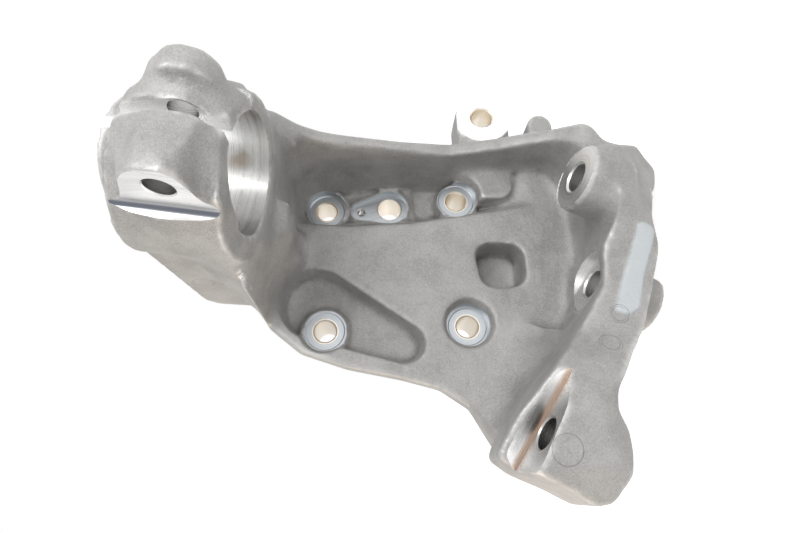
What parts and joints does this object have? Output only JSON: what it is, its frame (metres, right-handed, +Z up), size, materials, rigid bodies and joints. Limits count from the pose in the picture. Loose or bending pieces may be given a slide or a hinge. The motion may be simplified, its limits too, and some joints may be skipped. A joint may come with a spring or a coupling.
{
  "type": "steering knuckle",
  "caption": "One-piece cast aluminium steering knuckle with a split strut clamp, an open dish behind the wheel bearing and a beam for the ball joints.",
  "frame": {"origin": "centre of the four hub bolt holes, on the hub face", "axes": "+X forward, +Y inboard away from the wheel, +Z up towards the strut clamp"},
  "size_m": [0.2534, 0.19, 0.2754],
  "materials": {
    "cast_aluminium": "satin sand-cast skin with bright machined seats"
  },
  "bodies": {
    "root": {"knuckle_casting": "cast_aluminium"}
  },
  "joints": []
}
